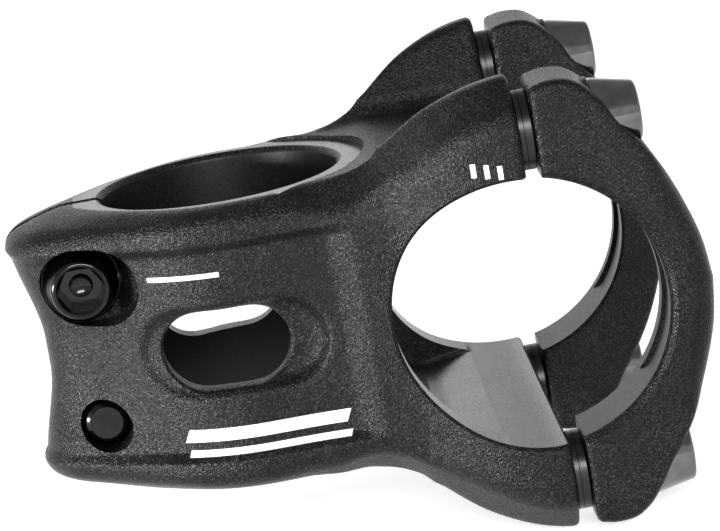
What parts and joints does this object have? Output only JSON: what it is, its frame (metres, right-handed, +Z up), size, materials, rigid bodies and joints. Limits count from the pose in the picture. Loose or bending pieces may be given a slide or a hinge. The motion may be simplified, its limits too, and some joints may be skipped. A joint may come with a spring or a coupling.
{
  "type": "handlebar stem",
  "caption": "Short forged stem: slit steerer clamp with side windows, two flared arms and two separate C-shaped faceplates, each held by two tapered bolts.",
  "frame": {"origin": "on the steerer axis, level with the handlebar axis, at the middle of the steerer clamp", "axes": "+X forward to the handlebar, +Y to the rider's left along the handlebar, +Z up along the steerer"},
  "size_m": [0.082, 0.0556, 0.0548],
  "materials": {
    "forged_black": "black anodised over a fine shot-peened forging",
    "plate_black": "black anodised over a fine shot-peened forging",
    "bolt_black_steel": "glossy black plated steel",
    "washer_steel": "satin black plated steel",
    "insert_steel": "dark turned steel with fine lathe lines"
  },
  "bodies": {
    "stem": {"stem_body": "forged_black", "insert_right_top": "insert_steel", "insert_right_bottom": "insert_steel", "insert_left_top": "insert_steel", "insert_left_bottom": "insert_steel"},
    "faceplate_right": {"faceplate_right": "plate_black"},
    "faceplate_left": {"faceplate_left": "plate_black"},
    "clamp_washer_right_top": {"washer_right_top": "washer_steel"},
    "clamp_bolt_right_top": {"bolt_right_top": "bolt_black_steel"},
    "clamp_washer_right_bottom": {"washer_right_bottom": "washer_steel"},
    "clamp_bolt_right_bottom": {"bolt_right_bottom": "bolt_black_steel"},
    "clamp_washer_left_top": {"washer_left_top": "washer_steel"},
    "clamp_bolt_left_top": {"bolt_left_top": "bolt_black_steel"},
    "clamp_washer_left_bottom": {"washer_left_bottom": "washer_steel"},
    "clamp_bolt_left_bottom": {"bolt_left_bottom": "bolt_black_steel"},
    "pinch_washer_upper": {"pinch_washer_upper": "washer_steel"},
    "pinch_bolt_upper": {"pinch_bolt_upper": "bolt_black_steel"},
    "pinch_washer_lower": {"pinch_washer_lower": "washer_steel"},
    "pinch_bolt_lower": {"pinch_bolt_lower": "bolt_black_steel"}
  },
  "joints": [
    {"name": "faceplate_right_off", "type": "slide", "parent": "stem", "child": "faceplate_right", "axis": [1, 0, 0], "range_m": [0, 0.03]},
    {"name": "faceplate_left_off", "type": "slide", "parent": "stem", "child": "faceplate_left", "axis": [1, 0, 0], "range_m": [0, 0.03]},
    {"name": "clamp_bolt_right_top_travel", "type": "slide", "parent": "faceplate_right", "child": "clamp_washer_right_top", "axis": [1, 0, 0], "range_m": [0, 0.009]},
    {"name": "clamp_bolt_right_top_turn", "type": "hinge", "parent": "clamp_washer_right_top", "child": "clamp_bolt_right_top", "pos_m": [0.0437, -0.0219, 0.0206], "axis": [1, 0, 0], "range_deg": [0, 3241]},
    {"name": "clamp_bolt_right_bottom_travel", "type": "slide", "parent": "faceplate_right", "child": "clamp_washer_right_bottom", "axis": [1, 0, 0], "range_m": [0, 0.009]},
    {"name": "clamp_bolt_right_bottom_turn", "type": "hinge", "parent": "clamp_washer_right_bottom", "child": "clamp_bolt_right_bottom", "pos_m": [0.0437, -0.0219, -0.0206], "axis": [1, 0, 0], "range_deg": [0, 3241]},
    {"name": "clamp_bolt_left_top_travel", "type": "slide", "parent": "faceplate_left", "child": "clamp_washer_left_top", "axis": [1, 0, 0], "range_m": [0, 0.009]},
    {"name": "clamp_bolt_left_top_turn", "type": "hinge", "parent": "clamp_washer_left_top", "child": "clamp_bolt_left_top", "pos_m": [0.0437, 0.0219, 0.0206], "axis": [1, 0, 0], "range_deg": [0, 3241]},
    {"name": "clamp_bolt_left_bottom_travel", "type": "slide", "parent": "faceplate_left", "child": "clamp_washer_left_bottom", "axis": [1, 0, 0], "range_m": [0, 0.009]},
    {"name": "clamp_bolt_left_bottom_turn", "type": "hinge", "parent": "clamp_washer_left_bottom", "child": "clamp_bolt_left_bottom", "pos_m": [0.0437, 0.0219, -0.0206], "axis": [1, 0, 0], "range_deg": [0, 3241]},
    {"name": "pinch_bolt_upper_travel", "type": "slide", "parent": "stem", "child": "pinch_washer_upper", "axis": [0, -1, 0], "range_m": [0, 0.008]},
    {"name": "pinch_bolt_upper_turn", "type": "hinge", "parent": "pinch_washer_upper", "child": "pinch_bolt_upper", "pos_m": [-0.0184, -0.0051, 0.0086], "axis": [0, -1, 0], "range_deg": [0, 2881]},
    {"name": "pinch_bolt_lower_travel", "type": "slide", "parent": "stem", "child": "pinch_washer_lower", "axis": [0, 1, 0], "range_m": [0, 0.008]},
    {"name": "pinch_bolt_lower_turn", "type": "hinge", "parent": "pinch_washer_lower", "child": "pinch_bolt_lower", "pos_m": [-0.0184, 0.0051, -0.0086], "axis": [0, 1, 0], "range_deg": [0, 2881]}
  ],
  "couplings": [
    {"joint": "clamp_bolt_right_top_turn", "follows": "clamp_bolt_right_top_travel", "rad_per_m": 6283.2},
    {"joint": "clamp_bolt_right_bottom_turn", "follows": "clamp_bolt_right_bottom_travel", "rad_per_m": 6283.2},
    {"joint": "clamp_bolt_left_top_turn", "follows": "clamp_bolt_left_top_travel", "rad_per_m": 6283.2},
    {"joint": "clamp_bolt_left_bottom_turn", "follows": "clamp_bolt_left_bottom_travel", "rad_per_m": 6283.2},
    {"joint": "pinch_bolt_upper_turn", "follows": "pinch_bolt_upper_travel", "rad_per_m": 6283.2},
    {"joint": "pinch_bolt_lower_turn", "follows": "pinch_bolt_lower_travel", "rad_per_m": 6283.2}
  ]
}
